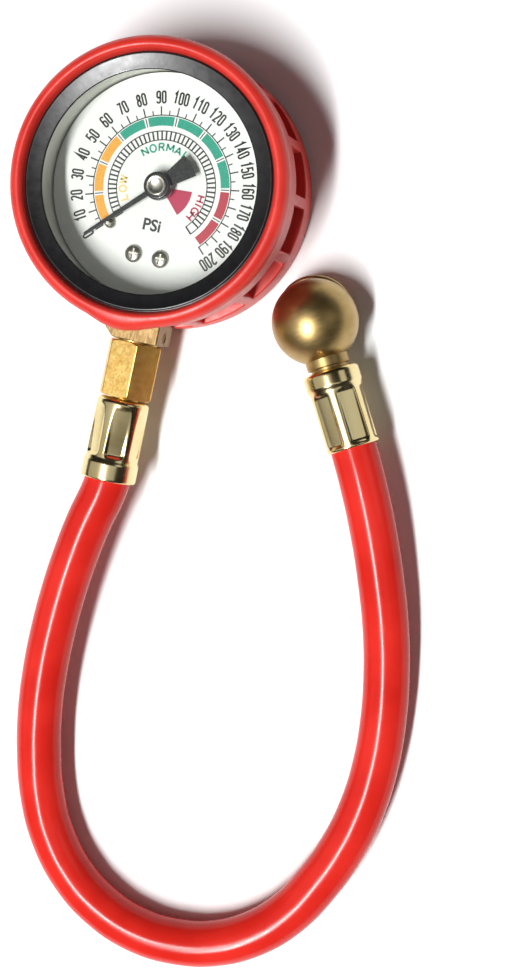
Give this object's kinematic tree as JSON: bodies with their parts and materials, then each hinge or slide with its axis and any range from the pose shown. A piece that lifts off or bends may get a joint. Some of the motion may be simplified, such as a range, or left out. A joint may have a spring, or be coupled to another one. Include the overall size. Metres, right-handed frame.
{
  "type": "tyre pressure gauge with hose and ball chuck",
  "caption": "Round dial pressure gauge in a ribbed rubber boot, with a short hose that ends in a ball-shaped chuck for a tyre valve.",
  "frame": {"origin": "on the resting surface, at the centre of the back of the boot, under the centre of the dial", "axes": "+Z out of the dial along the pointer shaft; +Y to the top of the dial, away from the stem; +X to the right of the dial, where the hose loops"},
  "size_m": [0.1367, 0.2556, 0.037],
  "materials": {
    "red_rubber": "satin",
    "black_bezel": "gloss",
    "white_case": "satin",
    "clear_lens": "gloss",
    "white_dial": "satin",
    "black_pointer": "satin",
    "nickel_plate": "polished",
    "brass": "satin",
    "plated_brass": "polished",
    "bronze_tube": "satin",
    "steel": "satin",
    "black_rubber": "matt"
  },
  "bodies": {
    "gauge": {"boot": "red_rubber", "case": "white_case", "bezel": "black_bezel", "lens_gasket": "black_rubber", "lens": "clear_lens", "dial_plate": "white_dial", "dial_screws": "nickel_plate", "stop_pin": "nickel_plate", "bourdon_tube": "bronze_tube", "hairspring": "bronze_tube", "movement_back_plate": "brass", "movement_front_plate": "brass", "movement_pillars": "brass", "movement_screws": "steel", "mounting_screws": "steel", "socket_block": "brass", "side_plug": "brass", "case_screws": "steel", "hex_coupling": "brass", "ferrule_gauge_end": "plated_brass", "hose": "red_rubber", "ferrule_ball_end": "plated_brass", "ball_body": "brass", "chuck_cap": "brass", "chuck_seal": "black_rubber", "chuck_spring": "steel"},
    "pointer_shaft": {"pointer": "black_pointer", "pointer_cap": "nickel_plate", "pinion": "brass"},
    "sector": {"sector_gear": "brass"},
    "tube_tip": {"tip_block": "brass"},
    "link": {"link": "brass"},
    "valve_pin": {"depressor_pin": "brass"}
  },
  "joints": [
    {"name": "sector_swing", "type": "hinge", "parent": "gauge", "child": "sector", "pos_m": [0, -0.0135, 0.012], "axis": [0, 0, 1], "range_deg": [0, 33.5], "stiffness_Nm_per_rad": 0.003, "springref_deg": -2.86},
    {"name": "pointer_turn", "type": "hinge", "parent": "gauge", "child": "pointer_shaft", "pos_m": [0, 0, 0.02], "axis": [0, 0, 1], "range_deg": [-268, 0]},
    {"name": "tube_flex", "type": "hinge", "parent": "gauge", "child": "tube_tip", "pos_m": [-0.0026, 0.0057, 0.011], "axis": [0, 0, 1], "range_deg": [0, 4.8], "deforming": ["bourdon_tube"]},
    {"name": "link_turn", "type": "hinge", "parent": "sector", "child": "link", "pos_m": [0.00544, -0.01604, 0.0125], "axis": [0, 0, 1], "range_deg": [-41, 0]},
    {"name": "valve_pin_press", "type": "slide", "parent": "gauge", "child": "valve_pin", "axis": [0.25, -0.433, 0.866], "range_m": [0, 0.0015], "stiffness_N_per_m": 600, "springref_m": -0.002, "deforming": ["chuck_spring"]}
  ],
  "couplings": [
    {"joint": "pointer_turn", "follows": "sector_swing", "ratio": -8},
    {"joint": "tube_flex", "follows": "sector_swing", "ratio": 0.1413},
    {"joint": "link_turn", "follows": "sector_swing", "ratio": -1.2144}
  ]
}
